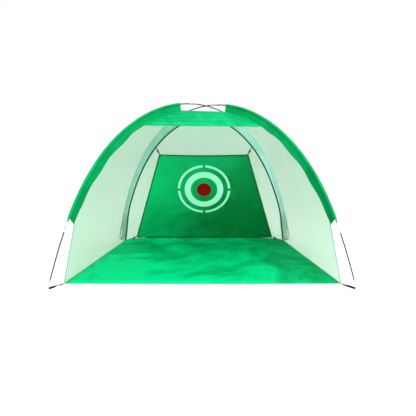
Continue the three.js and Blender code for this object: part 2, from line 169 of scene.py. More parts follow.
def front_seam(side, along):
    along = np.asarray(along, float)
    return pole_frame(side, along)[0] + front_offset(side, along)


def rear_seam(side, along):
    along = np.asarray(along, float)
    return pole_frame(-side, along)[0] + rear_offset(side, along)


def mix(a, b, part):
    return a + (b - a) * np.asarray(part)[..., None]


def wall_front_edge(side, v):
    """Up from the mat's corner to the sleeve's lower end, and then along the seam."""
    v = np.asarray(v, float)
    low = SLEEVE_START - SLEEVE_CUT
    foot = mat_corner(side, False) + [0, 0, SEAM_RISE]
    upper = front_seam(side, low + (SLEEVE_END - low) * (v - FREE_EDGE_SHARE) / (1 - FREE_EDGE_SHARE))
    lower = mix(foot, front_seam(side, low), np.clip(v / FREE_EDGE_SHARE, 0, 1))
    return np.where((v < FREE_EDGE_SHARE)[..., None], lower, upper)


def wall_rear_edge(side, v):
    edge = rear_seam(side, POLE_LENGTH + (REAR_SLEEVE_START - POLE_LENGTH) * np.asarray(v, float))
    edge[..., 2] = np.maximum(edge[..., 2], SEAM_RISE)
    return edge


def back_edge(side, v):
    """Up the rear seam, and then over the crown to the front sleeve's upper end."""
    v = np.asarray(v, float)
    rear = wall_rear_edge(side, np.clip(v / (1 - CROWN_SHARE), 0, 1))
    crown = mix(
        rear_seam(side, REAR_SLEEVE_START), front_seam(side, SLEEVE_END),
        np.clip((v - 1 + CROWN_SHARE) / CROWN_SHARE, 0, 1),
    )
    return np.where((v <= 1 - CROWN_SHARE)[..., None], rear, crown)


# ---------------------------------------------------------------- meshes
def new_object(name, vertices, faces, uv=None, crease_angle=50):
    mesh = bpy.data.meshes.new(name)
    mesh.from_pydata([tuple(v) for v in vertices], [], faces)
    if uv is not None:
        corners = np.zeros(len(mesh.loops), np.int32)
        mesh.loops.foreach_get("vertex_index", corners)
        mesh.uv_layers.new(name="UVMap").data.foreach_set("uv", uv[corners].astype(np.float32).ravel())
    mesh.polygons.foreach_set("use_smooth", [True] * len(mesh.polygons))
    mesh.set_sharp_from_angle(angle=math.radians(crease_angle))
    made = bpy.data.objects.new(name, mesh)
    bpy.context.scene.collection.objects.link(made)
    return made


def grid_faces(rows, columns, start=0, turned=False):
    faces = []
    for i in range(rows - 1):
        for j in range(columns - 1):
            a = start + i * columns + j
            face = (a, a + 1, a + columns + 1, a + columns)
            faces.append(face[::-1] if turned else face)
    return faces


def rim_of(rows, columns):
    """The grid's outline as a loop of vertex numbers, in the direction of its faces."""
    rim = list(range(columns - 1))
    rim += [i * columns + columns - 1 for i in range(rows - 1)]
    rim += [(rows - 1) * columns + j for j in range(columns - 1, 0, -1)]
    rim += [i * columns for i in range(rows - 1, 0, -1)]
    return rim


def grid_normals(points):
    return unit(np.cross(np.gradient(points, axis=1), np.gradient(points, axis=0)))


def lengths_along(points):
    """How far each point of a line lies from its start."""
    return np.concatenate([[0], np.cumsum(np.linalg.norm(np.diff(points, axis=0), axis=1))])


def uv_of(points):
    """UVs in metres on the cloth, measured along its middle row and middle column."""
    rows, columns = points.shape[:2]
    u = lengths_along(points[rows // 2])
    v = lengths_along(points[:, columns // 2])
    return stack(u[None, :], v[:, None])


def single_sheet(name, points, uv=None):
    """Open netting: one layer of faces, so that its holes are seen through once."""
    rows, columns = points.shape[:2]
    uv = uv_of(points) if uv is None else uv
    return new_object(name, points.reshape(-1, 3), grid_faces(rows, columns), uv.reshape(-1, 2))


def closed_sheet(name, points, thickness, uv=None, back_shift=0.0):
    """Cloth with a thickness: both faces and the rim between them. The back face may be shifted
    away on the cloth's pattern, to leave it plain."""
    rows, columns = points.shape[:2]
    count = rows * columns
    uv = (uv_of(points) if uv is None else uv).reshape(-1, 2)
    half = grid_normals(points) * (np.asarray(thickness)[..., None] / 2)
    vertices = np.concatenate([(points + half).reshape(-1, 3), (points - half).reshape(-1, 3)])
    faces = grid_faces(rows, columns) + grid_faces(rows, columns, count, turned=True)
    rim = rim_of(rows, columns)
    for p, q in zip(rim, rim[1:] + rim[:1]):
        faces.append((q, p, p + count, q + count))
    return new_object(name, vertices, faces, np.concatenate([uv, uv + back_shift]))


def swept(name, centres, across, up, radii, sides=RING_SIDES, closed=False):
    """A round surface along a line of centres, one ring for each. A closed one runs back to its
    first ring, and an open one is capped. Across and up span each ring."""
    count = len(centres)
    angle = 2 * math.pi * np.arange(sides) / sides
    ring = np.cos(angle)[:, None] * across[:, None] + np.sin(angle)[:, None] * up[:, None]
    vertices = (centres[:, None] + ring * np.asarray(radii)[:, None, None]).reshape(-1, 3)
    faces = []
    for i in range(count if closed else count - 1):
        for j in range(sides):
            a, b = i * sides, (i + 1) % count * sides
            faces.append((a + j, a + (j + 1) % sides, b + (j + 1) % sides, b + j))
    if not closed:
        faces.append(tuple(range(sides))[::-1])
        faces.append(tuple(range((count - 1) * sides, count * sides)))
    arc = np.arange(sides)[None, :] * 2 * math.pi * max(radii) / sides
    around = np.broadcast_to(arc, (count, sides))
    forward = np.broadcast_to(lengths_along(centres)[:, None], (count, sides))
    return new_object(name, vertices, faces, stack(around, forward).reshape(-1, 2), 40)


def swept_line(name, centres, radii, sides=RING_SIDES, closed=False):
    """A round surface along any line, with its rings turned as little as they can be."""
    tangent = unit(np.gradient(centres, axis=0))
    if closed:
        tangent = unit(np.roll(centres, -1, axis=0) - np.roll(centres, 1, axis=0))
    across = [unit(np.cross(tangent[0], [0.31, 0.17, 0.94]))]
    for direction in tangent[1:]:
        last = across[-1]
        across.append(unit(last - direction * (last @ direction)))
    across = np.array(across)
    return swept(name, centres, across, np.cross(tangent, across), radii, sides, closed)


def around_pole(name, side, stations, closed=False):
    """A turned piece on a pole, from stations of (distance along the pole, radius)."""
    along, radii = np.array(stations).T
    centres, _, inward, sideways = pole_frame(side, along)
    return swept(name, centres, inward, side * sideways, radii, closed=closed)


def strip(name, edge, into, width, thickness, lift=0.0, columns=4):
    """A flat binding along an edge. It is width wide, from the edge towards into, and stands lift
    above the cloth on the side that its faces look to."""
    across = np.linspace(0, 1, columns)
    points = edge[:, None] + unit(into)[:, None] * (width * across)[None, :, None]
    points = points + grid_normals(points) * lift
    uv = stack(width * across[None, :], lengths_along(edge)[:, None])
    return closed_sheet(name, points, thickness, uv)


def relief(points, scale, octaves=3, seed=0.0, stretch=(1, 1, 1)):
    """Smooth random heights, about -1 to 1, in features about scale metres across."""
    offset = Vector((17.3 * seed, 5.1 * seed, 2.7 * seed))
    flat = points.reshape(-1, 3) / (np.array(stretch) * scale)
    heights = [noise.fractal(Vector(p) + offset, 0.9, 2.0, octaves) for p in flat]
    return np.array(heights).reshape(points.shape[:-1])


# ---------------------------------------------------------------- materials
class Nodes:
    """A material's node tree, with short calls for the nodes that these materials use."""

    def __init__(self, name, colour, roughness, **sockets):
        self.material = bpy.data.materials.new(name)
        self.material.use_nodes = True
        self.tree = self.material.node_tree
        self.shader = self.tree.nodes["Principled BSDF"]
        self.shader.inputs["Base Color"].default_value = (*colour, 1)
        self.shader.inputs["Roughness"].default_value = roughness
        for socket, value in sockets.items():
            self.shader.inputs[socket.replace("_", " ")].default_value = value

    def node(self, kind, inputs=None, **settings):
        made = self.tree.nodes.new(kind)
        for key, value in settings.items():
            setattr(made, key, value)
        for key, value in (inputs or {}).items():
            if isinstance(value, bpy.types.NodeSocket):
                self.tree.links.new(value, made.inputs[key])
            else:
                made.inputs[key].default_value = value
        return made

    def math(self, operation, a, b=0.0, c=0.0):
        return self.node("ShaderNodeMath", {0: a, 1: b, 2: c}, operation=operation).outputs[0]

    def uv(self):
        split = self.node("ShaderNodeSeparateXYZ", {0: self.node("ShaderNodeTexCoord").outputs["UV"]})
        return split.outputs["X"], split.outputs["Y"]

    def position(self):
        return self.node("ShaderNodeTexCoord").outputs["Object"]

    def noise(self, vector, scale, detail=3.0, distortion=0.0):
        inputs = {"Vector": vector, "Scale": scale, "Detail": detail, "Distortion": distortion}
        return self.node("ShaderNodeTexNoise", inputs).outputs["Fac"]

    def remap(self, value, low, high, to_low=0.0, to_high=1.0):
        return self.node("ShaderNodeMapRange", {
            "Value": value, "From Min": low, "From Max": high, "To Min": to_low, "To Max": to_high,
        }, clamp=True).outputs[0]

    def blend(self, part, a, b):
        made = self.node("ShaderNodeMix", {0: part}, data_type="RGBA")
        for socket, value in ((made.inputs[6], a), (made.inputs[7], b)):
            if isinstance(value, bpy.types.NodeSocket):
                self.tree.links.new(value, socket)
            else:
                socket.default_value = (*value, 1)
        return made.outputs[2]

    def drive(self, socket, value):
        self.tree.links.new(value, self.shader.inputs[socket])

    def bump(self, height, distance, strength=1.0):
        inputs = {"Height": height, "Distance": distance, "Strength": strength}
        made = self.node("ShaderNodeBump", inputs)
        self.drive("Normal", made.outputs["Normal"])

    def weave(self, pitch):
        """Threads over and under each other, 0 in the gaps to 1 on the threads' backs."""
        u, v = self.uv()
        turn = 2 * math.pi / pitch
        warp = self.math("SINE", self.math("MULTIPLY", u, turn))
        weft = self.math("SINE", self.math("MULTIPLY", v, turn))
        return self.remap(self.math("MULTIPLY", warp, weft), -1, 1)


GREEN = (0.0004, 0.29, 0.080)
BINDING_GREEN = (0.001, 0.09, 0.032)


def green_cloth(name, light, dark, patch, fade=(0.0, 0.0), gloss=0.05):
    """Thin coated polyester: a fine plain weave, a soft sheen, uneven patches of tone, and painted shade
    where fade is given, which darkens the colour along the object's X and Y.
    """
    cloth = Nodes(name, light, 0.55, Specular_IOR_Level=gloss)
    place = cloth.node("ShaderNodeSeparateXYZ", {0: cloth.position()})
    # Painted shade: fade tilts the tone towards the dark colour along X and Y.
    painted_shade_shift = cloth.math("ADD", *[cloth.math("MULTIPLY", place.outputs[i], fade[i]) for i in (0, 1)])
    uneven = cloth.math("ADD", painted_shade_shift, cloth.noise(cloth.position(), patch, 5.0, 1.2))
    tone = cloth.remap(uneven, 0.34, 0.70)
    fleck = cloth.remap(cloth.noise(cloth.position(), 55.0, 2.0), 0.3, 0.7, 0.0, 0.18)
    threads = cloth.weave(WEAVE_PITCH)
    shade = cloth.math("ADD", tone, fleck)
    cloth.drive("Base Color", cloth.blend(shade, light, dark))
    cloth.drive("Roughness", cloth.remap(threads, 0, 1, 0.62, 0.46))
    cloth.bump(threads, 0.00025, 0.5)
    return cloth.material


def netting(name):
    """Knitted mesh: diamond holes between green threads, about half of it open. The threads are
    thin, so that light from behind comes through them."""
    thread = (0.012, 0.51, 0.158)
    net = Nodes(name, thread, 0.7, Specular_IOR_Level=0.15)
    u, v = net.uv()
    turn = math.pi / MESH_PITCH
    ways = [net.math("MULTIPLY", net.math(sign, u, v), turn) for sign in ("ADD", "SUBTRACT")]
    waves = [net.math("ABSOLUTE", net.math("SINE", way)) for way in ways]
    covered = net.remap(net.math("MULTIPLY", *waves), 0.315, 0.415, 1.0, 0.0)
    through = net.node("ShaderNodeBsdfTranslucent", {"Color": (*thread, 1)}).outputs[0]
    threads = net.node("ShaderNodeMixShader", {0: 0.5, 1: net.shader.outputs[0], 2: through}).outputs[0]
    clear = net.node("ShaderNodeBsdfTransparent").outputs[0]
    mesh = net.node("ShaderNodeMixShader", {0: covered, 1: clear, 2: threads}).outputs[0]
    net.tree.links.new(mesh, net.tree.nodes["Material Output"].inputs["Surface"])
    return net.material


def pale_cloth(name):
    """The rear sleeves' thin pale lining cloth, brightest along the seam and greyer low down."""
    cloth = Nodes(name, (0.62, 0.86, 0.92), 0.6, Sheen_Weight=0.05, Specular_IOR_Level=0.15)
    u, v = cloth.uv()
    low = cloth.remap(v, 0.28, 0.33, 1.0, 0.0)
    tone = cloth.remap(cloth.noise(cloth.position(), 9.0, 3.0), 0.35, 0.65)
    near_seam = cloth.remap(u, 0.012, 0.032, 1.0, 0.0)
    upper = cloth.blend(tone, (0.52, 0.67, 0.73), (0.42, 0.56, 0.62))
    along_seam = cloth.blend(cloth.remap(v, 0.7, 1.1), (0.74, 0.97, 0.97), (0.34, 0.66, 0.52))
    upper = cloth.blend(near_seam, upper, along_seam)
    lower = cloth.blend(tone, (0.40, 0.40, 0.46), (0.31, 0.32, 0.36))
    cloth.drive("Base Color", cloth.blend(low, upper, lower))
    cloth.bump(cloth.weave(WEAVE_PITCH), 0.00025, 0.5)
    return cloth.material


def fibreglass():
    rod = Nodes("fibreglass", (0.02, 0.02, 0.022), 0.38, Specular_IOR_Level=0.3)
    u, v = rod.uv()
    streak = rod.node("ShaderNodeCombineXYZ", {0: rod.math("MULTIPLY", u, 2600.0), 1: v}).outputs[0]
    tone = rod.noise(streak, 3.0, 4.0)
    shade = rod.remap(tone, 0.3, 0.7)
    rod.drive("Base Color", rod.blend(shade, (0.012, 0.012, 0.014), (0.035, 0.035, 0.038)))
    rod.drive("Roughness", rod.remap(tone, 0.3, 0.7, 0.32, 0.5))
    rod.bump(tone, 0.0001, 0.4)
    return rod.material


def steel():
    metal = Nodes("steel", (0.45, 0.46, 0.47), 0.25, Metallic=1.0)
    fine = metal.noise(metal.position(), 900.0, 2.0)
    wear = metal.noise(metal.position(), 60.0, 3.0)
    metal.drive("Roughness", metal.remap(metal.math("ADD", fine, wear), 0.7, 1.3, 0.18, 0.42))
    shade = metal.remap(wear, 0.35, 0.7)
    metal.drive("Base Color", metal.blend(shade, (0.66, 0.67, 0.68), (0.46, 0.47, 0.48)))
    return metal.material


def webbing():
    web = Nodes("webbing", (0.008, 0.008, 0.009), 0.8, Specular_IOR_Level=0.2)
    u, v = web.uv()
    ribs = web.math("SINE", web.math("MULTIPLY", u, 2 * math.pi / 0.0016))
    picks = web.math("SINE", web.math("MULTIPLY", v, 2 * math.pi / 0.0022))
    threads = web.remap(web.math("MULTIPLY", ribs, picks), -1, 1)
    web.drive("Base Color", web.blend(threads, (0.003, 0.003, 0.004), (0.012, 0.012, 0.014)))
    web.bump(threads, 0.0004, 0.8)
    return web.material


def black_plastic():
    plastic = Nodes("black_plastic", (0.004, 0.004, 0.005), 0.42, Specular_IOR_Level=0.3)
    grain = plastic.noise(plastic.position(), 1400.0, 2.0)
    plastic.drive("Roughness", plastic.remap(grain, 0.3, 0.7, 0.34, 0.5))
    plastic.bump(grain, 0.00008, 0.5)
    return plastic.material


def elastic():
    """Braided elastic cord: threads that cross on the slant."""
    cord = Nodes("elastic", (0.006, 0.006, 0.007), 0.8, Specular_IOR_Level=0.2)
    place = cord.node("ShaderNodeSeparateXYZ", {0: cord.position()})
    turn = 2 * math.pi / 0.0014
    ways = [cord.math("MULTIPLY", cord.math(sign, place.outputs[0], place.outputs[2]), turn)
            for sign in ("ADD", "SUBTRACT")]
    braid = cord.remap(cord.math("MULTIPLY", *[cord.math("SINE", way) for way in ways]), -1, 1)
    cord.drive("Base Color", cord.blend(braid, (0.002, 0.002, 0.003), (0.012, 0.012, 0.014)))
    cord.bump(braid, 0.0003, 0.7)
    return cord.material


BACK_SHIFT = 5.0                # puts the print off the back of the cloth
PRINT_CENTRE_SHARE = 0.611      # of the way up the target cloth
RING_OUTER, RING_LINE, RING_BREAK = 0.250, 0.022, 0.013
BAND_OUTER, BAND_INNER, DISC_RADIUS = 0.184, 0.127, 0.0695


def target_print():
    """The target cloth: green with painted light and shade, lighter at its upper left and darker towards
    its lower right, with a broken outer ring, a broad middle ring and a red disc.
    """
    cloth = Nodes("target_print", GREEN, 0.55, Specular_IOR_Level=0.06)
    u, v = cloth.uv()
    threads = cloth.weave(WEAVE_PITCH)
    patches = cloth.noise(cloth.position(), 2.6, 4.0, 0.8)
    # Painted light and shade: the green ground runs from light at the upper left to dark at the lower
    # right, with random patches.
    place = cloth.node("ShaderNodeSeparateXYZ", {0: cloth.position()})
    height = cloth.math("SUBTRACT", place.outputs[2], 0.56)
    slant = cloth.math("SUBTRACT", cloth.math("MULTIPLY", place.outputs[0], 0.75),
                       cloth.math("MULTIPLY", height, 0.63))
    tone = cloth.remap(cloth.math("ADD", slant, patches), 0.06, 0.92)
    ground = cloth.blend(tone, (0.0008, 0.38, 0.118), (0.0002, 0.13, 0.026))
    squares = [cloth.math("MULTIPLY", way, way) for way in (u, v)]
    radius = cloth.math("SQRT", cloth.math("ADD", *squares))
    soft = 0.0012

    def inside(limit):
        return cloth.remap(radius, limit - soft, limit + soft, 1.0, 0.0)

    nearest = cloth.math("MINIMUM", *[cloth.math("ABSOLUTE", way) for way in (u, v)])
    unbroken = cloth.remap(nearest, RING_BREAK - soft, RING_BREAK + soft)
    line = cloth.math("SUBTRACT", inside(RING_OUTER), inside(RING_OUTER - RING_LINE))
    line = cloth.math("MULTIPLY", line, unbroken)
    band = cloth.math("SUBTRACT", inside(BAND_OUTER), inside(BAND_INNER))
    pale = cloth.math("ADD", line, band)
    disc = inside(DISC_RADIUS)
    colour = cloth.blend(pale, ground, (0.26, 0.66, 0.44))
    cloth.drive("Base Color", cloth.blend(disc, colour, (0.16, 0.0015, 0.001)))
    ink = cloth.math("ADD", pale, disc)
    cloth.drive("Roughness", cloth.remap(cloth.math("SUBTRACT", threads, ink), -1, 1, 0.36, 0.62))
    cloth.bump(threads, 0.00025, 0.5)
    return cloth.material


def stitched(name, colour, thread, seam_at, pitch=0.004):
    """Hem or binding tape, with a row of stitches seam_at from its edge."""
    tape = Nodes(name, colour, 0.6, Specular_IOR_Level=0.1)
    u, v = tape.uv()
    threads = tape.weave(0.0013)
    row = tape.remap(tape.math("ABSOLUTE", tape.math("SUBTRACT", u, seam_at)), 0.0004, 0.0008, 1.0, 0.0)
    dash = tape.remap(tape.math("SINE", tape.math("MULTIPLY", v, 2 * math.pi / pitch)), -0.5, -0.2)
    stitches = tape.math("MULTIPLY", row, dash)
    shade = tape.remap(tape.noise(tape.position(), 30.0, 3.0), 0.3, 0.7)
    darker = tuple(c * 0.7 for c in colour)
    tape.drive("Base Color", tape.blend(stitches, tape.blend(shade, colour, darker), thread))
    tape.bump(tape.math("ADD", threads, stitches), 0.0004, 0.6)
    return tape.material


MATERIALS = {
    # The mat's fade is painted shade: it darkens the mat towards its right side and its rear.
    "mat": green_cloth(
        "green_mat", (0.0010, 0.62, 0.225), (0.0003, 0.27, 0.074), 2.6, fade=(0.14, 0.24), gloss=0.01),
    "sleeve": green_cloth("green_sleeve", (0.0004, 0.29, 0.085), (0.0002, 0.19, 0.048), 3.0),
    "valance": green_cloth("green_valance", (0.0015, 0.41, 0.148), (0.0008, 0.27, 0.088), 5.0),
    "print": target_print(),
    "net": netting("netting"),
    "pale": pale_cloth("pale_cloth"),
    "rod": fibreglass(),
    "steel": steel(),
    "webbing": webbing(),
    "plastic": black_plastic(),
    "elastic": elastic(),
    "hem": stitched("green_hem", (0.002, 0.36, 0.10), (0.01, 0.55, 0.2), 0.009),
    "dark_hem": stitched("dark_hem", (0.0004, 0.11, 0.026), (0.001, 0.20, 0.05), 0.009),
    "seam": stitched("seam_tape", BINDING_GREEN, (0.02, 0.22, 0.09), 0.004),
    "edge": stitched("edge_tape", (0.06, 0.22, 0.14), (0.15, 0.35, 0.25), 0.004),
}


def finish_piece(piece, material, body="frame", replaces=()):
    piece.data.materials.append(MATERIALS[material])
    if body:
        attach(piece, body)
    if replaces:
        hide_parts(*([replaces] if isinstance(replaces, str) else replaces))
    return piece


# ---------------------------------------------------------------- camera
def add_camera():
    camera = bpy.data.objects.new("camera", bpy.data.cameras.new("camera"))
    bpy.context.scene.collection.objects.link(camera)
    camera.data.sensor_width = 36
    camera.data.lens = CAMERA_LENS
    camera.location = CAMERA_PLACE
    camera.rotation_euler = (math.radians(90 - CAMERA_DOWN), 0, 0)
    bpy.context.scene.camera = camera


# ---------------------------------------------------------------- ties and hooks
def corner_of_target(side, is_top):
    return (TARGET_TOP if is_top else TARGET_BOTTOM) * [side, 1, 1] + CENTRING_SHIFT


def tie_anchor(side, is_top):
    if is_top:
        return rear_seam(side, TOP_ANCHOR_AT) - [0, 3 * SEAM_GAP, 0]
    return BOTTOM_ANCHOR * [side, 1, 1] + CENTRING_SHIFT


def tie_ends(side, is_top):
    """Where a tie starts, where it meets its hook, and the way it runs."""
    anchor, corner = tie_anchor(side, is_top), corner_of_target(side, is_top)
    way = unit(corner - anchor)
    reach = HOOK_BARREL_LENGTH + HOOK_SHANK + HOOK_BEND + HOOK_WIRE + SEAM_GAP
    return anchor + way * SEAM_GAP, corner - way * (reach + TIE_GAP), way


def add_tie(name, side, is_top):
    start, end, _ = tie_ends(side, is_top)
    path = start + np.linspace(0, 1, 16)[:, None] * (end - start)
    tie = swept_line(f"tie_{name}", path, np.full(16, TIE_RADIUS), 12)
    if is_top:
        finish_piece(tie, "elastic", "frame", f"tie_cord_{name}")
    else:
        finish_piece(tie, "elastic", None, f"tie_cord_{name}")
        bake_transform(tie)


def add_hook(name, side, is_top):
    """A hook on the tie's end: a ribbed barrel that grips the cord, and a bent crook."""
    _, end, way = tie_ends(side, is_top)
    start = Vector(end + way * TIE_GAP)
    turn = Vector((0, 1, 0)).rotation_difference(Vector(way)).to_matrix()
    place = Matrix.Translation(start) @ turn.to_4x4()
    full, length = HOOK_BARREL, HOOK_BARREL_LENGTH
    outline = [(0, 0.55), (0.0004, 0.72), (0.0016, 0.86)]
    ribs = 5
    for i in range(ribs):
        low = 0.002 + (length - 0.004) * i / ribs
        outline += [(low, 0.86), (low + 0.0004, 1.0), (low + 0.0014, 1.0), (low + 0.0018, 0.86)]
    outline += [(length - 0.0016, 0.86), (length - 0.0004, 0.72), (length, 0.6)]
    centres = np.array([[0, y, 0] for y, _ in outline])
    across = np.tile([1.0, 0, 0], (len(outline), 1))
    up = np.tile([0, 0, -1.0], (len(outline), 1))
    barrel = swept(f"hook_barrel_{name}", centres, across, up, [full * r for _, r in outline])
    barrel.data.transform(place)
    top = length + HOOK_SHANK
    bend = [(top + HOOK_BEND * math.sin(a), HOOK_BEND * (1 - math.cos(a)))
            for a in np.linspace(0, math.pi, 12)]
    line = [(length - 0.001, 0), (length + 0.003, 0), *bend, (top - HOOK_BACK + 0.001, 2 * HOOK_BEND),
            (top - HOOK_BACK, 2 * HOOK_BEND)]
    radii = [HOOK_WIRE] * (len(line) - 1) + [HOOK_WIRE * 0.6]
    crook = swept_line(f"hook_crook_{name}", np.array([[0, y, z] for y, z in line]), radii, 14)
    crook.data.transform(place)
    finish_piece(barrel, "plastic", f"hook_{name}", f"target_hook_{name}")
    finish_piece(crook, "plastic", f"hook_{name}")


# ---------------------------------------------------------------- poles and feet
def add_pole(side):
    name = "pole_a" if side < 0 else "pole_b"
    ends = [TIP_POLE_START, *(FIRST_JOINT + SECTION_PITCH * i for i in range(SECTION_COUNT - 1)),
            POLE_LENGTH - TIP_POLE_START]
    chamfer = 0.0006
    for i in range(SECTION_COUNT):
        start, end = ends[i] + JOINT_GAP / 2, ends[i + 1] - JOINT_GAP / 2
        inner = [(along, POLE_RADIUS) for along in np.linspace(start + chamfer, end - chamfer, 34)]
        stations = [(start, POLE_RADIUS - chamfer), *inner, (end, POLE_RADIUS - chamfer)]
        rod = around_pole(f"{name}_rod_{i + 1}", side, stations)
        finish_piece(rod, "rod", "frame", f"{name}_section_{i + 1}")
    for i in range(1, SECTION_COUNT):
        ferrule = around_pole(f"{name}_sleeve_tube_{i}", side, ferrule_stations(ends[i]), closed=True)
        finish_piece(ferrule, "steel", "frame", f"{name}_ferrule_{i}")


def ferrule_stations(middle):
    """A thin steel tube with a rolled lip at each end and a crimped groove near each lip."""
    half, lip, groove = FERRULE_LENGTH / 2, 0.0008, 0.011
    outer, inner = FERRULE_OUTER - 0.0002, FERRULE_INNER
    side = [(-half, outer - 0.0004), (-half + 0.0005, outer + 0.0002), (-half + 2 * lip, outer)]
    side += [(-half + groove, outer), (-half + groove + 0.0008, outer - 0.0004),
             (-half + groove + 0.0016, outer)]
    outside = side + [(x * half, outer) for x in (-0.2, 0.2)] + [(-x, r) for x, r in side[::-1]]
    inside = [(x * half, inner) for x in (1, 0.5, 0, -0.5, -1)]
    return [(middle + x, r) for x, r in outside + inside]


def foot_at(side, is_rear, distance):
    """The pole's side number and the place along it, for a distance from its end at that foot."""
    return (-side, POLE_LENGTH - distance) if is_rear else (side, distance)


def add_foot(side, is_rear, place):
    outer, inner = FERRULE_OUTER - 0.0002, FERRULE_INNER
    outline = [(TIP_START, outer - 0.0005), (TIP_START + 0.0006, outer), (TIP_START + 0.012, outer),
               (TIP_START + 0.013, outer - 0.0004), (TIP_START + 0.014, outer),
               (TIP_END - 0.001, outer), (TIP_END, outer - 0.0004), (TIP_END, inner), (TIP_START, inner)]
    pole_side = foot_at(side, is_rear, 0)[0]
    stations = [(foot_at(side, is_rear, d)[1], r) for d, r in outline]
    stations = stations[::-1] if is_rear else stations
    tip = around_pole(f"tip_{place}", pole_side, stations, closed=True)
    finish_piece(tip, "steel", "frame", f"pole_tip_{place}")

    ground, pin_end = (pole_frame(*foot_at(side, is_rear, d))[0] for d in (0, PIN_END))
    upward = unit(pin_end - ground)
    centre = ground + upward * (RING_RADIUS + RING_WIRE) / upward[2]
    corner = mat_corner(side, is_rear)
    to_corner = unit((corner - centre) * [1, 1, 0])
    angles = np.linspace(0, 2 * math.pi, 48, endpoint=False)
    circle = centre + RING_RADIUS * (
        np.cos(angles)[:, None] * to_corner + np.sin(angles)[:, None] * np.array([0, 0, 1.0]))
    ring = swept_line(f"ring_{place}", circle, np.full(48, RING_WIRE), 14, closed=True)
    finish_piece(ring, "steel", "frame", f"foot_ring_{place}")
    pin_at = [(PIN_START - 0.0004, 0.0032), (PIN_START + 0.0012, 0.0030),
              (PIN_START + 0.0022, PIN_RADIUS), (PIN_END - 0.002, PIN_RADIUS),
              (PIN_END - 0.0006, PIN_RADIUS * 0.8), (PIN_END, PIN_RADIUS * 0.4)]
    pin_stations = [(foot_at(side, is_rear, d)[1], r) for d, r in pin_at]
    pin = around_pole(f"pin_{place}", pole_side, pin_stations[::-1] if is_rear else pin_stations)
    finish_piece(pin, "steel")
    add_strap(place, centre + to_corner * RING_RADIUS, corner - to_corner * SEAM_GAP)


def add_strap(place, start, end):
    """Webbing that loops round the ring, is sewn back on itself, and turns flat at the mat."""
    end = end + [0, 0, 0.0018]
    way = unit(end - start)
    length = np.linalg.norm(end - start)
    loop, lap, ply = 0.0032, 0.034, 0.0009
    back = [(x, -ply) for x in np.linspace(lap, 2 * loop, 8)]
    turn = [(-loop * math.sin(a), -loop * math.cos(a)) for a in np.linspace(0, math.pi, 9)]
    out = [(x, ply * (1 - float(smooth(x, lap, lap + 0.01))))
           for x in np.linspace(2 * loop, length, 30)]
    line = np.array(back + turn + out)
    flat = unit(np.cross([0, 0, 1.0], way))
    angle = math.pi / 2 * smooth(line[:, 0], 0.2 * length, 0.8 * length)
    wide = np.cos(angle)[:, None] * np.array([0, 0, 1.0]) - np.sin(angle)[:, None] * flat
    thick = unit(np.cross(wide, way))
    middle = start + line[:, :1] * way + line[:, 1:] * thick
    across = np.linspace(-0.5, 0.5, 7) * STRAP_WIDTH
    points = middle[:, None] + wide[:, None] * across[None, :, None]
    uv = stack(across[None, :], lengths_along(middle)[:, None])
    strap = closed_sheet(f"strap_{place}", points, STRAP_THICKNESS, uv)
    finish_piece(strap, "webbing", "frame", f"foot_strap_{place}")


# ---------------------------------------------------------------- sleeves and valance
def sleeve_section(count=26):
    """A sleeve's cross-section, from its seam to the pocket, round the pole and back: each point's
    share of the width, and its place across and off the flap."""
    off = 0.0007
    angles = np.radians(np.linspace(30, 330, count))
    circle = [(0.0, POCKET_RADIUS * math.cos(a), POCKET_RADIUS * math.sin(a)) for a in angles]
    flap = [(share, POCKET_ROOT, off) for share in np.linspace(1, 0, 16)]
    back = [(0.0, x, -off) for x in np.linspace(POCKET_ROOT, POCKET_LAP, 4)]
    return np.array(flap + circle + back)


def sleeve_points(side, start, end, offset_at, cuts, rows):
    """A sleeve's surface. Each cut is how much farther that end reaches at the seam."""
    section = sleeve_section()
    share = section[:, 0]
    v = np.linspace(0, 1, rows)[:, None]
    along = (start - cuts[0] * share) + (end - start + (cuts[0] + cuts[1]) * share) * v
    point, tangent, _, _ = pole_frame(side, along)
    offset = offset_at(along)
    width = np.linalg.norm(offset, axis=-1)
    out = unit(offset)
    off = unit(np.cross(tangent, out))
    reach = section[:, 1] + (width - section[:, 1]) * share
    return point + out * reach[..., None] + off * section[:, 2][:, None], along, share, off


def add_front_sleeve(name, side):
    points, along, share, off = sleeve_points(
        side, SLEEVE_START, SLEEVE_END, lambda a: front_offset(side, a), (SLEEVE_CUT, 0), 150)
    fold = relief(points, 0.05, 3, seed=3 + side, stretch=(1, 1, 1))
    ripple = 0.0030 * fold * (4 * share * (1 - share)) + 0.0012 * fold * (share == 0)
    points = points + off * ripple[..., None]
    lay = lengths_along(points[75])
    uv = stack(lay[None, :], along)
    sleeve = closed_sheet(f"front_sleeve_cloth_{name}", points, CLOTH_THICKNESS, uv)
    finish_piece(sleeve, "sleeve", "frame", f"front_sleeve_{name}")

    seam_along = np.linspace(SLEEVE_START - SLEEVE_CUT, SLEEVE_END, 140)
    edge = front_seam(side, seam_along)
    into = -front_offset(side, seam_along)
    if side > 0:
        edge, into = edge[::-1], into[::-1]
    tape = strip(f"front_seam_tape_{name}", edge + unit(into) * -0.001, into, 0.011, 0.0008, 0.0012)
    finish_piece(tape, "hem")


def add_rear_sleeve(name, side):
    end = POLE_LENGTH - 0.042 - TIP_END
    points, along, share, off = sleeve_points(
        -side, REAR_SLEEVE_START, end, lambda a: rear_offset(side, a), (0, REAR_CUT), 130)
    fold = relief(points, 0.06, 3, seed=7 + side)
    points = points + off * (0.003 * fold * (4 * share * (1 - share)))[..., None]
    lay = lengths_along(points[40])
    uv = stack(lay[None, :], POLE_LENGTH - along)
    sleeve = closed_sheet(f"rear_sleeve_cloth_{name}", points, CLOTH_THICKNESS, uv)
    finish_piece(sleeve, "pale", "frame", f"rear_sleeve_{name}")
    add_gusset(name, side, end)


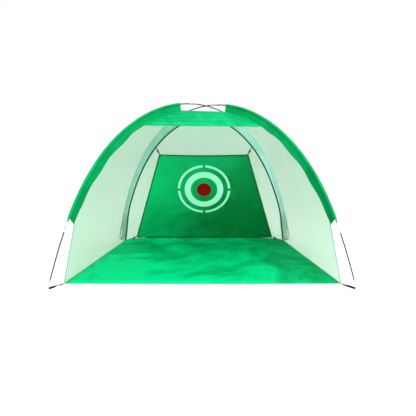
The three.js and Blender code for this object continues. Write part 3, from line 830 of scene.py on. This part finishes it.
def add_gusset(name, side, end):
    """The reinforcement that closes the corner between the rear sleeve's end and the mat."""
    u = np.linspace(1.0, 0.0, 14)[None, :]
    v = np.linspace(0.0, 1.0, 30)[:, None]
    along = end - 0.012 + (GUSSET_LENGTH + 0.012) * v + 0 * u
    pole, tangent, _, _ = pole_frame(-side, along)
    offset = rear_offset(side, along)
    root = 0.016 / np.linalg.norm(offset, axis=-1)
    off = unit(np.cross(tangent, offset))
    points = pole + offset * (root + (1 - root) * u)[..., None] - off * 0.0022
    fold = 0.0020 * np.sin(9 * u) * smooth(u, 0, 0.2) * smooth(1 - u, 0, 0.2) + 0 * v
    points = points + off * fold[..., None]
    plain = stack(0.05 + 0 * along, 0.1 + 0 * along)
    gusset = closed_sheet(f"rear_gusset_{name}", points, CLOTH_THICKNESS, plain)
    finish_piece(gusset, "pale")


def add_rear_seam(name, side):
    """Dark tape folded over the rear seam, with one leaf on the side net and one on the back net."""
    v = np.linspace(0.0, 1.0, 150)
    edge = wall_rear_edge(side, v)
    leaves = {"side": wall_front_edge(side, v) - edge, "back": wall_rear_edge(-side, v) - edge}
    for leaf, into in leaves.items():
        way = 1 if (side > 0) == (leaf == "side") else -1
        tape = strip(f"rear_seam_tape_{leaf}_{name}", (edge - unit(into) * 0.002)[::way], into[::way],
                     0.013, 0.0030)
        finish_piece(tape, "seam")


def fold_lines(u, v, folds):
    """Long soft ridges in a stretched cloth. Each fold is (height across at the left, at the right,
    width, depth, where it is deepest along, how long)."""
    height = np.zeros(np.broadcast(u, v).shape)
    for left, right, width, depth, middle, length in folds:
        line = left + (right - left) * u
        ridge = np.exp(-(((v - line) / width) ** 2)) * np.exp(-(((u - middle) / length) ** 2))
        height = height + depth * ridge
    return height


def add_valance():
    u = np.linspace(0, 1, 170)[None, :]
    v = np.linspace(0, 1, 60)[:, None]
    along = HEM_AT + (SLEEVE_END - HEM_AT) * v
    left, right = front_seam(-1, along), front_seam(1, along)
    points = mix(left, right, u + 0 * v)
    folds = [
        (0.10, 0.16, 0.030, 0.0045, 0.30, 0.30), (0.24, 0.20, 0.028, -0.0050, 0.25, 0.28),
        (0.30, 0.36, 0.035, 0.0055, 0.62, 0.30), (0.42, 0.34, 0.030, -0.0050, 0.50, 0.35),
        (0.52, 0.58, 0.040, 0.0060, 0.40, 0.30), (0.66, 0.60, 0.035, -0.0055, 0.62, 0.30),
        (0.74, 0.82, 0.040, 0.0050, 0.45, 0.35), (0.86, 0.84, 0.035, -0.0040, 0.60, 0.25),
    ]
    held = smooth(u, 0, 0.08) * smooth(1 - u, 0, 0.08) * smooth(v, 0, 0.08) * smooth(1 - v, 0, 0.06)
    rough = relief(points, 0.05, 3, seed=11, stretch=(5, 1, 1))
    height = (2.0 * fold_lines(u, v, folds) + 0.0055 * rough) * held
    points = points + grid_normals(points) * height[..., None]
    valance = closed_sheet("valance_cloth", points, CLOTH_THICKNESS)
    finish_piece(valance, "valance", "frame", "front_valance")

    edge = points[0, ::-1] - [0, 0, 0.001]
    into = (points[5] - points[0])[::-1]
    hem = strip("valance_hem", edge, into, 0.012, 0.0008, -0.0012)
    finish_piece(hem, "hem")


# ---------------------------------------------------------------- nets
def add_side_net(name, side):
    u = np.linspace(0, 1, 60)[None, :]
    v = np.linspace(0, 1, 90)[:, None]
    front, rear = wall_front_edge(side, v), wall_rear_edge(side, v)
    points = mix(front, rear, u + 0 * v)
    slack = relief(points, 0.35, 2, seed=20 + side)
    pull = 16 * u * (1 - u) * v * (1 - v)
    points = points + grid_normals(points) * (pull * 0.006 * slack)[..., None]
    net = single_sheet(f"side_netting_{name}", points)
    finish_piece(net, "net", "frame", f"side_net_{name}")

    heights = np.linspace(0, FREE_EDGE_SHARE, 40)
    edge = wall_front_edge(side, heights)
    into = wall_rear_edge(side, heights) - edge
    if side > 0:
        edge, into = edge[::-1], into[::-1]
    tape = strip(f"free_edge_tape_{name}", edge, into, 0.007, 0.0009)
    finish_piece(tape, "edge")


def add_back_net():
    u = np.linspace(0, 1, 70)[None, :]
    v = np.linspace(0, 1, 110)[:, None]
    points = mix(back_edge(-1, v), back_edge(1, v), u + 0 * v)
    points[..., 2] = np.maximum(points[..., 2], mat_rise(u, 1.0) + 0.003)
    slack = relief(points, 0.4, 2, seed=30)
    pull = 16 * u * (1 - u) * v * (1 - v)
    points = points + grid_normals(points) * (pull * 0.008 * slack)[..., None]
    net = single_sheet("back_netting", points)
    finish_piece(net, "net", "frame", "back_net")


# ---------------------------------------------------------------- the mat
def mat_point(u, v):
    """A point of the mat's flat outline, with u across and v from front to rear."""
    across = 2 * u - 1
    half = MAT_FRONT_X + (MAT_REAR_X - MAT_FRONT_X) * v
    front = MAT_FRONT_Y - MAT_FRONT_BOW * (1 - across ** 2)
    return stack(half * across, front + (MAT_REAR_Y - front) * v, 0 * u * v) + CENTRING_SHIFT


def mat_rise(u, v):
    """How far the back net's pull lifts the mat's rear edge off the ground, between its corners."""
    return MAT_REAR_RISE * (1 - np.abs(2 * u - 1) ** 5) * smooth(v, 0.86, 1.0)


def add_mat():
    """The mat on the ground, uneven except at its edges and where the lower hooks swing over it."""
    u = np.linspace(0, 1, 190)[None, :]
    v = np.linspace(0, 1, 125)[:, None]
    points = mat_point(u, v)
    broad = relief(points, 0.30, 4, seed=41)
    small = relief(points, 0.075, 4, seed=42)
    ridged = 1 - np.abs(relief(points, 0.16, 3, seed=43, stretch=(1.6, 1, 1))) * 2
    at_back = smooth(v, 0.45, 0.95)
    held = smooth(u, 0, 0.03) * smooth(1 - u, 0, 0.03) * smooth(v, 0, 0.03) * smooth(1 - v, 0, 0.02)
    lift = mat_rise(u, v)
    for side in SIDES.values():
        hook = tie_ends(side, False)[1] - [0, HOOK_SWEEP, 0]
        away = np.linalg.norm((points - hook)[..., :2], axis=-1)
        held, lift = (part * smooth(away, 0.6 * HOOK_SWEEP, 1.4 * HOOK_SWEEP) for part in (held, lift))
    height = 0.006 + 0.004 * broad + (0.0012 + 0.003 * at_back) * small
    height = height + (0.0015 + 0.0035 * at_back) * np.clip(ridged, 0, 1)
    points[..., 2] = 0.0010 + np.maximum(height, 0.0) * held + lift
    mat = closed_sheet("floor_mat_cloth", points, MAT_THICKNESS, stack(points[..., 0], points[..., 1]))
    finish_piece(mat, "mat", "frame", "floor_mat")
    front = mat_point(np.linspace(0, 1, 90), np.zeros(90)) + [0, 0, 0.0022]
    hem = strip("mat_front_hem", front, np.tile([0, 1.0, 0], (90, 1)), 0.014, 0.0010, 0.0006)
    finish_piece(hem, "hem")
    for name, side in SIDES.items():
        edge = mat_point(np.full(90, (side + 1) / 2), np.linspace(0.02, 0.995, 90)) + [0, 0, 0.0032]
        edge, into = edge[::side], np.tile([-side, 0.0, 0.0], (90, 1))
        binding = strip(f"mat_side_tape_{name}", edge, into, 0.012, 0.0010, 0.0006)
        finish_piece(binding, "hem")


# ---------------------------------------------------------------- the target
def target_point(u, v):
    across = 2 * u - 1
    top, bottom = TARGET_TOP * [0, 1, 1], TARGET_BOTTOM * [0, 1, 1]
    lean = unit(top - bottom)
    point = mix(bottom + 0 * v[..., None], top, v) - lean * (0.008 * v * (1 - across ** 2))[..., None]
    half = TARGET_BOTTOM[0] + (TARGET_TOP[0] - TARGET_BOTTOM[0]) * v
    return point + stack(half * across, 0 * u * v, 0 * u * v) + CENTRING_SHIFT


def add_target():
    """The target cloth, a little slack, with pulls at its corners and fine creases."""
    u = np.linspace(0, 1, 130)[None, :] + np.zeros((100, 1))
    v = np.linspace(0, 1, 100)[:, None] + np.zeros((1, 130))
    points = target_point(u, v)
    slant = np.linalg.norm((TARGET_TOP - TARGET_BOTTOM)[1:])
    uv = stack(points[..., 0], (v - PRINT_CENTRE_SHARE) * slant)
    tense = relief(points, 0.30, 3, seed=51) * 0.0035
    creases = relief(points, 0.07, 3, seed=52, stretch=(3.2, 1, 1)) * 0.0022
    tense = tense + creases * (0.35 + 0.65 * smooth(np.abs(v - 0.5), 0.25, 0.5))
    corner_pull = 0.0
    for x, z in ((0, 1), (1, 1), (0, 0), (1, 0)):
        du, dv = np.abs(u - x), np.abs(v - z)
        away = np.hypot(1.4 * du, dv)
        angle = np.arctan2(dv, 1.4 * du + 1e-6)
        reach = np.exp(-away / 0.22) * smooth(away, 0.0, 0.08)
        corner_pull = corner_pull + 0.004 * np.sin(11 * angle + 2 * x) * reach
    height = (tense + corner_pull) * smooth(u, 0, 0.02) * smooth(1 - u, 0, 0.02)
    points = points + grid_normals(points) * height[..., None]
    cloth = closed_sheet("target_cloth_panel", points, CLOTH_THICKNESS, uv, back_shift=BACK_SHIFT)
    finish_piece(cloth, "print", "target", "target_cloth")
    add_target_hems(points)


def add_target_hems(points):
    edges = {
        "bottom": (points[0], points[3] - points[0]),
        "top": (points[-1, ::-1], (points[-4] - points[-1])[::-1]),
        "left": (points[::-1, 0], (points[:, 3] - points[:, 0])[::-1]),
        "right": (points[:, -1], points[:, -4] - points[:, -1]),
    }
    for name, (edge, into) in edges.items():
        edge = edge - unit(into) * 0.0008
        hem = strip(f"target_hem_{name}", edge, into, 0.013, 0.0040)
        finish_piece(hem, "dark_hem", "target")


# ---------------------------------------------------------------- stage
def add_stage():
    floor = bpy.data.objects.new("floor", bpy.data.meshes.new("floor"))
    reach, drop = 30.0, 0.0002
    corners = [(-reach, -reach), (reach, -reach), (reach, reach), (-reach, reach)]
    floor.data.from_pydata([(x, y, -drop) for x, y in corners], [], [(0, 1, 2, 3)])
    bpy.context.scene.collection.objects.link(floor)
    paper = Nodes("floor_paper", (0.93, 0.93, 0.93), 0.9, Specular_IOR_Level=0.1,
                  Emission_Color=(1, 1, 1, 1), Emission_Strength=0.12)
    grain = paper.noise(paper.position(), 40.0, 2.0)
    paper.drive("Base Color", paper.blend(grain, (0.95, 0.95, 0.95), (0.91, 0.91, 0.91)))
    floor.data.materials.append(paper.material)

    scene = bpy.context.scene
    scene.view_settings.view_transform = "Standard"
    scene.world = bpy.data.worlds.new("studio")
    scene.world.use_nodes = True
    background = scene.world.node_tree.nodes["Background"]
    background.inputs["Color"].default_value = (1, 1, 1, 1)
    background.inputs["Strength"].default_value = 1.0
    add_light("key", (0.9, -4.3, 2.7), 2.2, 250)


def add_light(name, place, size, power):
    light = bpy.data.objects.new(name, bpy.data.lights.new(name, "AREA"))
    light.data.size = size
    light.data.energy = power
    light.location = place
    towards = Vector((0, 0.1, 0.4)) - Vector(place)
    light.rotation_euler = towards.to_track_quat("-Z", "Y").to_euler()
    bpy.context.scene.collection.objects.link(light)


# ---------------------------------------------------------------- build
add_camera()
for side_name, side_number in SIDES.items():
    for is_top_tie in (True, False):
        tie_name = f"{'top' if is_top_tie else 'bottom'}_{side_name}"
        add_tie(tie_name, side_number, is_top_tie)
        add_hook(tie_name, side_number, is_top_tie)
add_mat()
for side_name, side_number in SIDES.items():
    add_pole(side_number)
    add_foot(side_number, False, f"front_{side_name}")
    add_foot(side_number, True, f"rear_{side_name}")
    add_front_sleeve(side_name, side_number)
    add_rear_sleeve(side_name, side_number)
    add_side_net(side_name, side_number)
    add_rear_seam(side_name, side_number)
add_valance()
add_back_net()
add_target()
add_stage()
